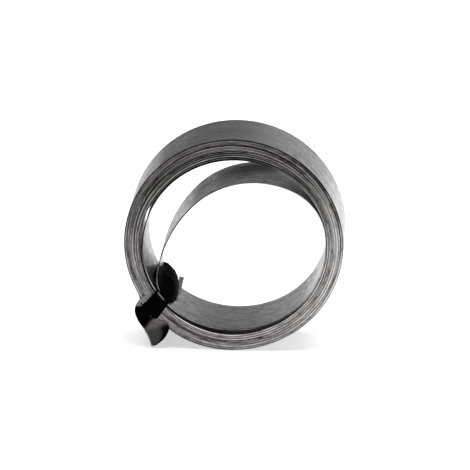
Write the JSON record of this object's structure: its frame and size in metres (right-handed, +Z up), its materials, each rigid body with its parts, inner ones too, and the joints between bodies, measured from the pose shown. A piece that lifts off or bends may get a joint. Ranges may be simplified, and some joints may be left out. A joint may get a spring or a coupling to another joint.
{
  "type": "galvanized steel strapping band",
  "caption": "Small coil of plain galvanized steel strapping, with a loose inner turn and the strip's inner end brought back across the eye to a black tape tie.",
  "frame": {"origin": "on the floor under the middle of the coil standing on its rim", "axes": "+Z up, the coil's axis along Y with its front end face towards -Y, +X to the right of that face"},
  "size_m": [0.115, 0.0415, 0.115],
  "materials": {
    "galvanized_steel": "matte galvanized zinc with fine spangle",
    "black_tape": "satin black adhesive tape, grey on its sticky side"
  },
  "bodies": {
    "root": {"strap": "galvanized_steel", "tape_tie": "black_tape"}
  },
  "joints": []
}
